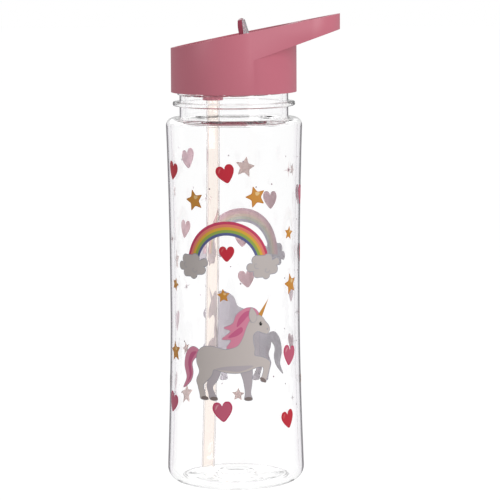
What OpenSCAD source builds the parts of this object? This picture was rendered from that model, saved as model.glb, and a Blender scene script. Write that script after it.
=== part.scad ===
// Kids water bottle: clear waisted bottle, screw cap with a slanted top, carry loop and flip spout,
// drinking straw. Z is up, the origin is the centre of the base, and the carry loop points along +X.

/* [Bottle] */
// Height of the flat shoulder above the base
shoulder_z = 184; // [150:1:230]
// Height of the waist above the base
waist_z = 85; // [60:1:110]
// How far the shoulder stands out of the neck
shoulder_out = 6.9; // [5.5:0.1:10]
// How much the shoulder's radius exceeds the waist's
waist_in = 1.5; // [0:0.1:3]
// How much the base's radius exceeds the waist's
base_out = 1.9; // [0:0.1:3]
// Wall thickness of the body
wall = 2.2; // [1.5:0.1:2.8]
// Outside radius of the corner between base and body
base_corner = 7.5; // [5:0.5:9]
// Outside radius of the corner between body and shoulder
shoulder_corner = 4; // [3.5:0.5:5]
// Height of the push-up under the base
push_up = 1.4; // [0.8:0.1:2]

/* [Neck] */
// Outside radius of the neck under its thread
neck_r = 27.2; // [22:0.1:33]
// Wall thickness of the neck
neck_wall = 2.6; // [1.8:0.1:3.2]
// Height of the neck's rim above the shoulder
neck_h = 21.6; // [18:0.1:26]
// Height of the support flange's underside above the shoulder
flange_rise = 6; // [4:0.5:8]
// How far the support flange stands out of the neck
flange_out = 3.4; // [2:0.1:4.2]
// Thickness of the support flange
flange_t = 2; // [1.5:0.1:2.5]
// Rise of the thread in one turn
thread_pitch = 4; // [3.5:0.1:5]
// How far each thread ridge stands out of its wall
thread_depth = 1.1; // [0.8:0.05:1.35]
// Height of the thread's start above the flange
thread_rise = 2.6; // [2:0.1:3.2]
// Turns of the ridge on the neck
neck_turns = 1.5; // [1:0.25:1.75]

/* [Cap] */
// Wall thickness of the outer shell
shell_wall = 1.5; // [1.2:0.1:2]
// Wall thickness of the inner cap's skirt
skirt_wall = 1.2; // [1:0.1:2]
// Gap between the support flange and the cap's lower edge
cap_gap = 4.8; // [3:0.1:6]
// Slant of the top, rising towards the carry loop
top_slant = 11.34; // [8:0.1:13.6]
// Depth of the tray below the rim
tray_depth = 1.2; // [0.8:0.1:1.6]
// Width of the rim round the tray
rim_w = 1.9; // [1.5:0.1:2.4]
// Thickness of the slanted top plate
top_plate = 1.8; // [1.4:0.1:2.2]

/* [Carry loop] */
// How far the loop reaches out of the cap
loop_reach = 21.8; // [20:0.1:28]
// Radius of the loop's round end
loop_r = 19.35; // [16:0.1:23]
// Width of the loop's band
loop_band = 5; // [4:0.1:6]
// Thickness of the loop at its tip
loop_t = 7.8; // [6.5:0.1:9.4]
// Slant of the loop's underside
loop_slant = 19.78; // [16:0.1:21]
// Radius of the finger hole's two inner corners
hole_corner = 3.5; // [2:0.1:5]

/* [Flip spout] */
// Distance of the spout's hinge and the straw from the bottle's axis
spout_x = 10.6; // [8.8:0.1:12.7]
// Radius of the spout's hub
hub_r = 5.6; // [4.6:0.1:6.7]
// Length of the hub along its axis
hub_w = 15.4; // [14:0.1:18.5]
// Radius of the two trunnions that the spout turns on
trunnion_r = 2; // [1.5:0.1:2.5]
// Radial clearance of a trunnion in its bore
trunnion_play = 0.05; // [0.03:0.01:0.09]
// Width of the spout's arm
arm_w = 13; // [11:0.1:14]
// Height of the spout's arm
arm_h = 8; // [6.6:0.1:9.6]
// Distance from the hinge to the end of the arm
arm_l = 19.5; // [19:0.1:22]
// Distance from the hinge to the tip of the mouthpiece
spout_l = 33; // [31:0.5:38]
// Radius of the bore for the drink
drink_r = 2.2; // [1.8:0.1:2.4]
// Height of the thumb tab above the rim
tab_h = 7.5; // [5:0.5:10]
// Width of the thumb tab
tab_w = 10; // [8:0.5:11]

/* [Straw and seals] */
// Outside radius of the straw
straw_r = 3.3; // [2.8:0.1:3.7]
// Wall thickness of the straw
straw_wall = 0.7; // [0.5:0.1:0.9]
// Height of the straw's lower end above the table
straw_end_z = 6.4; // [6:0.1:15]
// How far the straw bends outwards between its socket and its end
straw_bend = 3.7; // [1:0.1:5]
// Wall thickness of the socket that holds the straw
socket_wall = 1.8; // [1.2:0.1:2]
// How far the socket reaches below the cap's lower edge
socket_drop = 4; // [2:0.1:6]
// Thickness of the neck's gasket
gasket_t = 1.7; // [1.2:0.1:2.1]
// Thickness of the valve seat under the hub
seat_t = 1.6; // [1.3:0.1:2]
// Distance of the vent valve from the bottle's axis
vent_x = 13; // [10.8:0.1:15.6]

/* [Hidden] */
eps = 0.01;
fn_round = 96;
fn_small = 48;
fn_bend = 2400;    // keeps the straw's long, shallow arc smooth
fit_gap = 0.05;    // between fixed pieces that nest in each other
run_gap = 0.3;     // between faces that move past each other
thread_gap = 0.35; // between a ridge's crest and the wall that it faces
ridge_root = 1;    // half the width of a thread ridge at its wall
ridge_crest = 0.5; // half the width of a thread ridge at its crest
ridge_embed = 0.4; // how deep a ridge is rooted in its wall
ridge_steps = 36;  // segments of a ridge in one turn
ridge_start = 54;  // angle at which the neck's ridge starts
cap_turns = 1.25;  // turns of the ridge inside the cap
foot_w = 1.8;      // width of the ring that the bottle stands on
foot_bevel = 1.2;  // width of the slope inside that ring
dimple_r = 6;      // radius of the raised centre of the base
dimple_h = 2.2;    // height of that centre above the push-up
mouth_r = 3;       // radius of the corner between neck and shoulder, inside
neck_foot_r = 1;   // radius of the same corner, outside
edge = 0.5;        // bevel on the flange and the neck's rim
deck_t = 2;        // thickness of the inner cap's deck
lead_in = 0.8;     // how far the inner cap's skirt stops above the shell's edge
plug_gap = 0.5;    // between the plug ring and the neck's bore
plug_wall = 1.2;
plug_drop = 1.2;   // how far the plug ring reaches below the neck's rim
hub_proud = 0.4;   // how far the hub stands above the tray
trough_gap = 0.5;  // on each side of the hub
ear_t = 2.4;       // thickness of the walls that hold the trunnions
ear_gap = 0.4;     // how far a trunnion stops short of its wall's outer face
back_room = 2.2;   // behind the hub
front_room = 1.4;  // in front of the hub
tip_room = 3.2;    // in front of the mouthpiece
arm_room = 1.8;    // under the arm
floor_t = 1.6;
end_wall = 1.8;
seat_stem_l = 3.3; // depth of the valve seat's stem in the deck
seat_lip = 0.4;    // how far the seat's head reaches past the hub
seat_arch = 3.4;   // how far the seat's sides stop below the hinge
stem_extra = 1.75; // how much the stem's radius exceeds the drink bore's
nipple_r = 3;
barb_r = 3.5;
tip_r = 3.1;       // radius of the mouthpiece's tip
collar_r = 5.4;    // radius of the mouthpiece's collar
tab_tip_r = 0.9;
tab_bulge_r = 19;
pad_tip_t = 0.5;   // thickness of the thumb pad at its top
vent_hole_r = 1.5;
air_x = 2.7;       // from the vent valve's centre to its air holes
air_r = 0.6;

// radii of the bottle
shoulder_r = neck_r + shoulder_out;
waist_r = shoulder_r - waist_in;
base_r = waist_r + base_out;
neck_in_r = neck_r - neck_wall;
flange_r = neck_r + flange_out;

// heights of the bottle
wall_top_z = shoulder_z - shoulder_corner;
flange_z = shoulder_z + flange_rise;
flange_top_z = flange_z + flange_t;
neck_top_z = shoulder_z + neck_h;
ridge_z = flange_top_z + thread_rise;

// radii and heights of the cap, built up from the neck
skirt_in_r = neck_r + thread_depth + thread_gap;
skirt_r = skirt_in_r + skirt_wall;
shell_in_r = skirt_r + fit_gap;
cap_r = shell_in_r + shell_wall;
tray_r = cap_r - rim_w;
plug_r = neck_in_r - plug_gap;
cap_z = flange_top_z + cap_gap;
under_deck_z = neck_top_z + gasket_t;
deck_z = under_deck_z + deck_t;

// hinge of the spout; the slanted planes are given by their height on the bottle's axis
rise = tan(top_slant);
hinge_z = deck_z + seat_t + hub_r;
tray_z = hinge_z + spout_x * rise + hub_r - hub_proud;
rim_z = tray_z + tray_depth;
floor_z = hinge_z + spout_x * rise - arm_h / 2 - arm_room;

// trough that the spout lies in
trough_r = hub_w / 2 + trough_gap;
trough_back_x = -spout_x - hub_r - back_room;
well_end_x = -spout_x + hub_r + front_room;
trough_end_x = -spout_x + spout_l * cos(top_slant) + tip_room;

// carry loop
loop_tip_x = cap_r + loop_reach;
loop_x = loop_tip_x - loop_r;
loop_z = rim_z + loop_tip_x * rise - loop_t - loop_tip_x * tan(loop_slant);
side_angle = asin((cap_r - loop_r) / loop_x); // its sides run tangent from the cap to the round end

// thumb tab and its pad, in the arm's own directions: x along it, h across it
tab_foot_h = (rim_z - spout_x * rise - hinge_z) * cos(top_slant) + 1.5;
tab_top_h = tab_foot_h - 1.5 + tab_h;
tab_back_x = arm_l - 4;
tab_tip_x = tab_back_x + 1.8;
tab_lean = asin(min(0.9, (tab_h - 2.3) / tab_bulge_r));
pad_back_x = tab_back_x + 1.9;
pad_foot_h = arm_h / 2;
pad_top_h = tab_top_h - tab_tip_r;

// straw and valves
seat_stem_r = drink_r + stem_extra;
socket_r = straw_r + fit_gap + socket_wall;
socket_z = cap_z - socket_drop;
straw_top_z = deck_z - seat_stem_l - plug_drop;

// Radius of the body's outside at height z
function body_r(z) = z > waist_z
    ? waist_r + (shoulder_r - waist_r) * pow((z - waist_z) / (wall_top_z - waist_z), 2.2)
    : waist_r + (base_r - waist_r) * pow((waist_z - z) / (waist_z - base_corner), 1.6);

// Points of an arc about [cx, cy] from angle a to angle b
function arc(cx, cy, r, a, b, n) = [for (i = [0:n]) [cx + r * cos(a + (b - a) * i / n),
                                                     cy + r * sin(a + (b - a) * i / n)]];

// Outline of a bar with round sides, w across and h high
function bar_outline(w, h, n) = concat(arc((w - h) / 2, 0, h / 2, -90, 90, n),
                                       arc(-(w - h) / 2, 0, h / 2, 90, 270, n));

// Thread ridge: a trapezoid swept along a right-hand helix, fading in and out at its ends
module thread_ridge(root_r, crest_r, z0, turns, from_angle) {
    n = round(turns * ridge_steps);
    fade = ridge_steps / 8;
    out = crest_r > root_r ? 1 : -1;
    foot_r = root_r - out * ridge_embed;
    function height(i) = max(0.1, min(1, i / fade, (n - i) / fade));
    function ring(i) = let (a = from_angle + 360 * turns * i / n,
                            z = z0 + thread_pitch * turns * i / n,
                            r = root_r + (crest_r - root_r) * height(i),
                            s = [[foot_r, -ridge_root], [r, -ridge_crest],
                                 [r, ridge_crest], [foot_r, ridge_root]])
        [for (p = s) [p[0] * cos(a), p[0] * sin(a), z + p[1]]];
    side = [for (i = [0:n - 1]) for (j = [0:3])
        let (k = (j + 1) % 4) [4 * i + j, 4 * i + k, 4 * i + 4 + k, 4 * i + 4 + j]];
    faces = concat([[3, 2, 1, 0]], side, [[4 * n, 4 * n + 1, 4 * n + 2, 4 * n + 3]]);
    // turned inside out when the crest points inwards
    polyhedron([for (i = [0:n]) for (p = ring(i)) p],
               [for (f = faces) out > 0 ? [for (v = f) v] : [for (v = f) f[len(f) - 1 - search(v, f)[0]]]],
               convexity = 4);
}

// Everything above a plane that slants up towards +X and passes z on the bottle's axis
module above_slant(z, angle) {
    translate([0, 0, z]) rotate([0, -angle, 0]) translate([-150, -150, 0]) cube([300, 300, 150]);
}

// Everything below such a plane
module below_slant(z, angle) {
    translate([0, 0, z]) rotate([0, -angle, 0]) translate([-150, -150, -150]) cube([300, 300, 150]);
}

module bottle_body() {
    steps = 28;
    floor_z_in = push_up + wall;
    foot_r = base_r - base_corner;
    outside = concat(
        [[0, push_up + dimple_h], [dimple_r, push_up + dimple_h], [dimple_r + 2, push_up],
         [foot_r - foot_w - foot_bevel, push_up], [foot_r - foot_w, 0]],
        arc(foot_r, base_corner, base_corner, -90, 0, 12),
        [for (i = [1:steps]) let (z = base_corner + (wall_top_z - base_corner) * i / steps) [body_r(z), z]],
        arc(shoulder_r - shoulder_corner, wall_top_z, shoulder_corner, 10, 90, 8),
        arc(neck_r + neck_foot_r, shoulder_z + neck_foot_r, neck_foot_r, -90, -180, 4),
        [[neck_r, flange_z], [flange_r - edge, flange_z], [flange_r, flange_z + edge],
         [flange_r, flange_top_z - edge], [flange_r - edge, flange_top_z],
         [neck_r, flange_top_z], [neck_r, neck_top_z - edge], [neck_r - edge, neck_top_z]]);
    inside = concat(
        [[neck_in_r + edge, neck_top_z], [neck_in_r, neck_top_z - edge]],
        arc(neck_in_r + mouth_r, shoulder_z - wall + mouth_r, mouth_r, 180, 270, 6),
        arc(shoulder_r - shoulder_corner, wall_top_z, shoulder_corner - wall, 90, 0, 6),
        [for (i = [steps - 1:-1:1]) let (z = base_corner + (wall_top_z - base_corner) * i / steps)
            [body_r(z) - wall, z]],
        arc(foot_r, base_corner, base_corner - wall, 0, -90, 8),
        [[dimple_r + wall + 2, floor_z_in], [dimple_r + wall, floor_z_in + dimple_h],
         [0, floor_z_in + dimple_h]]);
    color("aliceblue", 0.4) union() {
        rotate_extrude($fn = fn_round) polygon(concat(outside, inside));
        thread_ridge(neck_r, neck_r + thread_depth, ridge_z, neck_turns, ridge_start);
    }
}

// Flat silicone ring between the neck's rim and the inner cap's deck
module neck_gasket() {
    color("whitesmoke") translate([0, 0, neck_top_z]) difference() {
        cylinder(r = skirt_in_r - run_gap, h = gasket_t, $fn = fn_round);
        translate([0, 0, -1]) cylinder(r = plug_r + run_gap, h = gasket_t + 2, $fn = fn_round);
    }
}

// Round end and straight sides of the carry loop, standing from z0 to z1
module loop_block(z0, z1) {
    r = cap_r - fit_gap; // keeps the sides from meeting the cap's wall in a pure tangent
    a = 90 - side_angle;
    outline = concat([[r * cos(a), -r * sin(a)]], arc(loop_x, 0, loop_r, -a, a, 40),
                     [[r * cos(a), r * sin(a)]]);
    translate([0, 0, z0]) linear_extrude(z1 - z0) polygon(outline);
}

// Finger hole: follows the loop's band outside, straight on the cap's side
module finger_hole(z0, z1) {
    back_x = cap_r + 2;
    corner_x = back_x + hole_corner;
    r = loop_r - loop_band;
    corner_y = sqrt(pow(r - hole_corner, 2) - pow(corner_x - loop_x, 2));
    tilt = atan2(corner_y, corner_x - loop_x);
    outline = concat(arc(loop_x, 0, r, -tilt, tilt, 32), arc(corner_x, corner_y, hole_corner, tilt, 180, 10),
                     arc(corner_x, -corner_y, hole_corner, 180, 360 - tilt, 10));
    translate([0, 0, z0]) linear_extrude(z1 - z0) polygon(outline);
}

// Block across the trough's width, from x0 to x1 and from z0 upwards, wider by the given margin
module across_trough(x0, x1, z0, margin = 0) {
    translate([x0, -trough_r - margin, z0]) cube([x1 - x0, 2 * (trough_r + margin), 60]);
}

module cap_shell() {
    color("palevioletred") difference() {
        union() {
            translate([0, 0, cap_z])
                cylinder(r = cap_r, h = rim_z + cap_r * rise - cap_z + 1, $fn = fn_round);
            difference() {
                loop_block(cap_z, rim_z + loop_tip_x);
                below_slant(loop_z, loop_slant);
            }
        }
        above_slant(rim_z, top_slant);
        intersection() {
            above_slant(tray_z, top_slant);
            cylinder(r = tray_r, h = 2 * rim_z, $fn = fn_round);
        }
        // room for the inner cap
        translate([0, 0, cap_z - 1]) cylinder(r = shell_in_r, h = deck_z - cap_z + 1, $fn = fn_round);
        // hollow under the top plate, round the trough's walls
        difference() {
            translate([0, 0, deck_z - eps]) cylinder(r = shell_in_r - run_gap, h = 60, $fn = fn_round);
            above_slant(tray_z - top_plate, top_slant);
            across_trough(trough_back_x - end_wall, trough_end_x + end_wall, deck_z - 1, ear_t);
        }
        // trough: open down to the deck at the hinge, with a slanted floor under the arm
        across_trough(trough_back_x, well_end_x, deck_z - 1);
        intersection() {
            union() {
                across_trough(well_end_x - 1, trough_end_x - trough_r, deck_z);
                translate([trough_end_x - trough_r, 0, deck_z])
                    cylinder(r = trough_r, h = 60, $fn = fn_round);
            }
            above_slant(floor_z, top_slant);
        }
        // hollow under the trough's floor
        difference() {
            across_trough(well_end_x + end_wall, trough_end_x - trough_r + end_wall, deck_z - 1);
            above_slant(floor_z - floor_t, top_slant);
        }
        // bores for the trunnions
        translate([-spout_x, 0, hinge_z]) rotate([90, 0, 0])
            cylinder(r = trunnion_r + trunnion_play, h = 2 * (trough_r + ear_t) + 2, center = true,
                     $fn = fn_small);
        finger_hole(cap_z, rim_z + loop_tip_x);
    }
}

module inner_cap() {
    color("palevioletred") difference() {
        union() {
            difference() {
                translate([0, 0, cap_z + lead_in])
                    cylinder(r = skirt_r, h = deck_z - cap_z - lead_in, $fn = fn_round);
                translate([0, 0, cap_z]) cylinder(r = skirt_in_r, h = under_deck_z - cap_z, $fn = fn_round);
            }
            // half a turn behind the neck's ridge, so that it lies midway between two of its passes
            thread_ridge(skirt_in_r, skirt_in_r - thread_depth, ridge_z + thread_pitch, cap_turns,
                         ridge_start + 180);
            // ring that centres the gasket and plugs the neck
            translate([0, 0, neck_top_z - plug_drop]) difference() {
                cylinder(r = plug_r, h = plug_drop + gasket_t + eps, $fn = fn_round);
                translate([0, 0, -1]) cylinder(r = plug_r - plug_wall, h = 20, $fn = fn_round);
            }
            translate([-spout_x, 0, socket_z]) cylinder(r = socket_r, h = deck_z - socket_z, $fn = fn_small);
        }
        // socket: bore for the straw, stop, and seat for the valve seat's stem
        translate([-spout_x, 0, socket_z - 1])
            cylinder(r = straw_r + fit_gap, h = straw_top_z - socket_z + 1, $fn = fn_small);
        translate([-spout_x, 0, socket_z]) cylinder(r = straw_r - straw_wall, h = 60, $fn = fn_small);
        translate([-spout_x, 0, deck_z - seat_stem_l])
            cylinder(r = seat_stem_r + fit_gap, h = seat_stem_l + 1, $fn = fn_small);
        // hole for the vent valve's stem, and air holes round it
        translate([vent_x, 0, under_deck_z - 1]) {
            cylinder(r = vent_hole_r, h = deck_t + 2, $fn = fn_small);
            for (i = [0:3]) rotate(45 + 90 * i) translate([air_x, 0, 0])
                cylinder(r = air_r, h = deck_t + 2, $fn = 32);
        }
    }
}

// Silicone seat under the spout's hub; the hub turns in its hollow top
module valve_seat() {
    color("whitesmoke") difference() {
        union() {
            translate([-spout_x, 0, deck_z])
                cylinder(r = hub_r + seat_lip, h = hinge_z - deck_z - seat_arch, $fn = 64);
            translate([-spout_x, 0, deck_z - seat_stem_l])
                cylinder(r = seat_stem_r, h = seat_stem_l + eps, $fn = 64);
        }
        translate([-spout_x, 0, hinge_z]) rotate([90, 0, 0])
            cylinder(r = hub_r + run_gap, h = 4 * hub_r, center = true, $fn = fn_round);
        translate([-spout_x, 0, deck_z - seat_stem_l - 1])
            cylinder(r = drink_r + run_gap, h = 20, $fn = fn_small);
    }
}

// Umbrella valve that lets air in as the drink goes out
module vent_valve() {
    flap_r = air_x + air_r + 0.9;
    flap_t = 0.9;
    head_h = 1.8;
    color("whitesmoke") translate([vent_x, 0, 0]) union() {
        translate([0, 0, under_deck_z - flap_t])
            cylinder(r1 = flap_r - 0.6, r2 = flap_r, h = flap_t, $fn = fn_small);
        translate([0, 0, under_deck_z - flap_t / 2])
            cylinder(r = vent_hole_r - fit_gap, h = deck_t + flap_t, $fn = fn_small);
        translate([0, 0, deck_z])
            cylinder(r1 = vent_hole_r + 0.5, r2 = vent_hole_r - 0.4, h = head_h, $fn = fn_small);
    }
}

// Straight in its socket, then bent outwards in one long arc
module straw() {
    drop = socket_z - straw_end_z;
    bend_r = (drop * drop + straw_bend * straw_bend) / (2 * straw_bend);
    color("peachpuff") union() {
        translate([-spout_x, 0, socket_z]) difference() {
            cylinder(r = straw_r, h = straw_top_z - socket_z, $fn = 64);
            translate([0, 0, -1]) cylinder(r = straw_r - straw_wall, h = straw_top_z, $fn = 64);
        }
        translate([-spout_x - bend_r, 0, socket_z]) rotate([-90, 0, 0])
            rotate_extrude(angle = asin(drop / bend_r), $fn = fn_bend) translate([bend_r, 0]) difference() {
                circle(r = straw_r, $fn = 64);
                circle(r = straw_r - straw_wall, $fn = 64);
            }
    }
}

// Puts its children on the closed spout: +X runs along the arm, from the hinge
module on_spout() {
    translate([-spout_x, 0, hinge_z]) rotate([0, -top_slant, 0]) children();
}

// Plate across the arm, w wide, with the given outline seen from the side
module tab_side(outline, w) {
    rotate([90, 0, 0]) translate([0, 0, -w / 2]) linear_extrude(w) polygon(outline);
}

// Thumb tab: its back bulges towards the hinge, and its rounded tip leans the other way
module thumb_tab() {
    outline = concat([[tab_back_x, 0]],
                     arc(tab_back_x + tab_bulge_r, tab_foot_h, tab_bulge_r, 180, 180 - tab_lean, 8),
                     arc(tab_tip_x, tab_top_h - tab_tip_r, tab_tip_r, 150, 10, 6),
                     [[pad_back_x, pad_foot_h], [pad_back_x, 0]]);
    intersection() {
        tab_side(outline, tab_w);
        rotate([0, 90, 0]) cylinder(r = tab_top_h, h = 2 * arm_l, $fn = fn_round);
    }
}

module flip_spout() {
    color("palevioletred") on_spout() difference() {
        union() {
            rotate([90, 0, 0]) cylinder(r = hub_r, h = hub_w, center = true, $fn = fn_round);
            rotate([90, 0, 0])
                cylinder(r = trunnion_r, h = 2 * (trough_r + ear_t - ear_gap), center = true, $fn = fn_small);
            rotate([90, 0, 90]) linear_extrude(arm_l) polygon(bar_outline(arm_w, arm_h, 12));
            rotate([0, 90, 0]) cylinder(r = nipple_r, h = arm_l + 5.5, $fn = fn_small);
            translate([arm_l + 3, 0, 0]) rotate([0, 90, 0])
                cylinder(r1 = barb_r, r2 = nipple_r - 0.2, h = 2.5, $fn = fn_small);
            thumb_tab();
        }
        translate([-hub_r - 1, 0, 0]) rotate([0, 90, 0])
            cylinder(r = drink_r, h = 2 * arm_l + hub_r, $fn = fn_small);
    }
}

// Soft pad that lines the tab's thumb face, from the mouthpiece's collar to just under the tab's tip
module thumb_pad() {
    outline = [[pad_back_x + fit_gap, pad_foot_h], [tab_tip_x + tab_tip_r + fit_gap, pad_top_h],
               [tab_tip_x + tab_tip_r + pad_tip_t, pad_top_h], [arm_l - 0.1, tab_foot_h - 1.5],
               [arm_l + 1.6, collar_r - 0.8], [arm_l + 1.6, nipple_r + 1], [arm_l, nipple_r + 1],
               [arm_l, pad_foot_h]];
    tab_side(outline, tab_w - 1);
}

// Soft mouthpiece, pushed over the arm's barbed nipple
module mouthpiece() {
    outside = concat([[0, arm_l], [collar_r - 0.2, arm_l], [collar_r, arm_l + 0.4], [collar_r, arm_l + 1.6],
                      [collar_r - 0.5, arm_l + 2.1], [tip_r + 1.5, spout_l - 3]],
                     arc(tip_r, spout_l - 1.5, 1.5, 20, 90, 6), [[0, spout_l]]);
    color("mistyrose") on_spout() {
        thumb_pad();
        rotate([0, 90, 0]) difference() {
            rotate_extrude($fn = 64) polygon(outside);
            translate([0, 0, arm_l - 1]) cylinder(r = nipple_r + fit_gap, h = 4, $fn = fn_small);
            translate([0, 0, arm_l + 3 - eps])
                cylinder(r1 = barb_r + fit_gap, r2 = nipple_r - 0.2 + fit_gap, h = 2.6, $fn = fn_small);
            translate([0, 0, arm_l - 1]) cylinder(r = drink_r, h = spout_l, $fn = fn_small);
        }
    }
}

bottle_body();
neck_gasket();
cap_shell();
inner_cap();
valve_seat();
vent_valve();
straw();
flip_spout();
mouthpiece();
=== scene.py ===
# %% [markdown]
# # A clear school bottle with a pink flip-spout cap
# The bottle is a waisted shell of clear plastic with a coloured print on its outside. Its pink cap has a
# slanted top and a carry loop, and a flip spout lies in a trough in that top. This lesson starts from the
# engineering model, keeps its places and sizes, and gives every piece the shape and finish that a camera
# sees: polished clear walls, satin moulded plastic, soft silicone, and ink.

# %% Load the frame
import math
import random

import bpy
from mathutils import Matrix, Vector


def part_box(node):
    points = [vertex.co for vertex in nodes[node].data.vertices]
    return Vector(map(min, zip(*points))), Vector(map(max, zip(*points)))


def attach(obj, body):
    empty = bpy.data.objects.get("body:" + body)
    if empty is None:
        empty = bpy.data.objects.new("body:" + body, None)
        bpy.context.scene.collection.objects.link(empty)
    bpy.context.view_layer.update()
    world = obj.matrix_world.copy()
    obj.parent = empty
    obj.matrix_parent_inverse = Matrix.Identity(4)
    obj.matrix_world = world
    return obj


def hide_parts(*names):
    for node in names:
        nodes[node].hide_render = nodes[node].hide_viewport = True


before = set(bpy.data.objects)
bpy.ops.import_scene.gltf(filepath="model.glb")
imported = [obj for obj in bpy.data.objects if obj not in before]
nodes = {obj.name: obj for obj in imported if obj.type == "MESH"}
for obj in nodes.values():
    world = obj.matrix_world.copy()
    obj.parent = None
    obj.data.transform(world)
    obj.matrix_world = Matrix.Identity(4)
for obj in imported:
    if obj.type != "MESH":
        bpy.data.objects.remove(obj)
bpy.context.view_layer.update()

MM = 0.001
print("nodes:", ", ".join(sorted(nodes)))

# %% [markdown]
# ## Small tools
# Modelling tools act on whatever is selected, and loading the frame leaves its parts selected. So each step
# clears the selection first. `apply` makes a modifier permanent, and `finish` gives a piece its material
# and the body that it moves with, and hides the engineering parts that it replaces.

# %% Selecting, applying and finishing
def deselect():
    bpy.ops.object.select_all(action="DESELECT")


def activate(*objects):
    deselect()
    for o in objects:
        o.select_set(True)
    bpy.context.view_layer.objects.active = objects[0]


def apply(obj, kind, **settings):
    activate(obj)
    mod = obj.modifiers.new(kind.title(), kind)
    for key, value in settings.items():
        setattr(mod, key, value)
    bpy.ops.object.modifier_apply(modifier=mod.name)


def place_in_mesh(obj):
    activate(obj)
    bpy.ops.object.transform_apply(location=True, rotation=True, scale=True)


def outward(obj, distance=1e-6):
    activate(obj)
    bpy.ops.object.mode_set(mode="EDIT")
    bpy.ops.mesh.select_all(action="SELECT")
    bpy.ops.mesh.remove_doubles(threshold=distance)
    bpy.ops.mesh.normals_make_consistent(inside=False)
    bpy.ops.object.mode_set(mode="OBJECT")


def smooth(obj, angle=35):
    activate(obj)
    bpy.ops.object.shade_smooth_by_angle(angle=math.radians(angle))


def finish(obj, material, body, slot, *replaced):
    obj.data.materials.clear()
    obj.data.materials.append(material)
    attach(obj, body)
    if replaced:
        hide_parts(*replaced)
    print(f"{obj.name}: {len(obj.data.polygons)} faces, rides on {body}")


# %% [markdown]
# ## Camera and light
# The bottle stands in front of a long lens, a little above its shoulder, and turned so that the carry loop
# points right and slightly forward. A white sweep of light behind and under a clear object is the classic
# way to show it: the plastic stays bright, and its edges show as grey lines. Here these lines are partly dim
# reflections of the world and partly painted shade in the clear plastics' colour. The world is therefore
# white where it is seen, and dimmer where it lights paint or is mirrored in gloss. Light crosses a clear
# bottle through many surfaces, so it is allowed more turns than usual before it is given up.

# %% Camera
CAMERA_TURN = math.radians(7.0)
CAMERA_DISTANCE = 1.4
CAMERA_HEIGHT = 0.282
CAMERA_PITCH = math.radians(6.72)
CAMERA_ROLL = math.radians(-0.34)
CAMERA_SHIFT = 0.0305
LENS, SENSOR = 201.7, 36

deselect()
bpy.ops.object.camera_add(
    location=(CAMERA_DISTANCE * math.sin(CAMERA_TURN),
              -CAMERA_DISTANCE * math.cos(CAMERA_TURN), CAMERA_HEIGHT),
    rotation=(math.radians(90) - CAMERA_PITCH, 0, CAMERA_TURN),
)
camera = bpy.context.object
camera.rotation_euler.rotate_axis("Z", CAMERA_ROLL)
camera.data.lens = LENS
camera.data.sensor_width = SENSOR
camera.data.shift_x = CAMERA_SHIFT
bpy.context.scene.camera = camera

# %% Lights
LIGHT_AIM = Vector((0, 0, 0.13))


def softbox(name, place, size, power, colour=(1, 1, 1)):
    bpy.ops.object.light_add(type="AREA", location=place)
    lamp = bpy.context.object
    lamp.name = name
    lamp.data.shape = "RECTANGLE"
    lamp.data.size, lamp.data.size_y = size
    lamp.data.energy = power
    lamp.data.color = colour
    aim = LIGHT_AIM - Vector(place)
    lamp.rotation_euler = aim.to_track_quat("-Z", "Y").to_euler()
    print(f"{name}: {power} W")


softbox("key_light", (0.85, -0.65, 0.55), (0.5, 0.9), 6.8, (1, 0.98, 0.98))
softbox("fill_light", (-0.9, -0.6, 0.6), (0.5, 0.4), 1.6)
softbox("back_light", (-0.2, 0.9, 0.7), (0.9, 0.6), 2.0)

# %% World
SEEN_WHITE = 1.0
LIGHTING_WHITE = 0.40
MIRRORED_WHITE = 0.40

world = bpy.data.worlds.new("studio")
bpy.context.scene.world = world
world.use_nodes = True
wn, wl = world.node_tree.nodes, world.node_tree.links


def studio_level(n, links, seen, lighting, mirrored):
    """One brightness as seen, directly or through plastic, and others as light on paint and in gloss."""
    path = n.new("ShaderNodeLightPath")
    paint = n.new("ShaderNodeMix")
    paint.inputs["A"].default_value = seen
    paint.inputs["B"].default_value = lighting
    links.new(path.outputs["Is Diffuse Ray"], paint.inputs["Factor"])
    gloss = n.new("ShaderNodeMix")
    gloss.inputs["B"].default_value = mirrored
    bounced = n.new("ShaderNodeMath")
    bounced.operation = "SUBTRACT"
    links.new(path.outputs["Is Glossy Ray"], bounced.inputs[0])
    links.new(path.outputs["Is Transmission Ray"], bounced.inputs[1])
    links.new(bounced.outputs["Value"], gloss.inputs["Factor"])
    links.new(paint.outputs["Result"], gloss.inputs["A"])
    return gloss.outputs["Result"]


wn["Background"].inputs["Color"].default_value = (1, 1, 1, 1)
wl.new(studio_level(wn, wl, SEEN_WHITE, LIGHTING_WHITE, MIRRORED_WHITE), wn["Background"].inputs["Strength"])

scene = bpy.context.scene
scene.view_settings.view_transform = "Standard"
LIGHT_TURNS = 24
scene.cycles.max_bounces = LIGHT_TURNS
scene.cycles.glossy_bounces = LIGHT_TURNS
scene.cycles.transmission_bounces = LIGHT_TURNS

# %% [markdown]
# The floor is a wide disc that glows faintly, as a translucent white table does when it is lit from below.
# Its soft contact shadow is all that tells where the bottle stands.

# %% Floor
def new_material(name):
    material = bpy.data.materials.new(name)
    material.use_nodes = True
    tree = material.node_tree
    return material, tree.nodes, tree.links, tree.nodes["Principled BSDF"]


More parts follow.
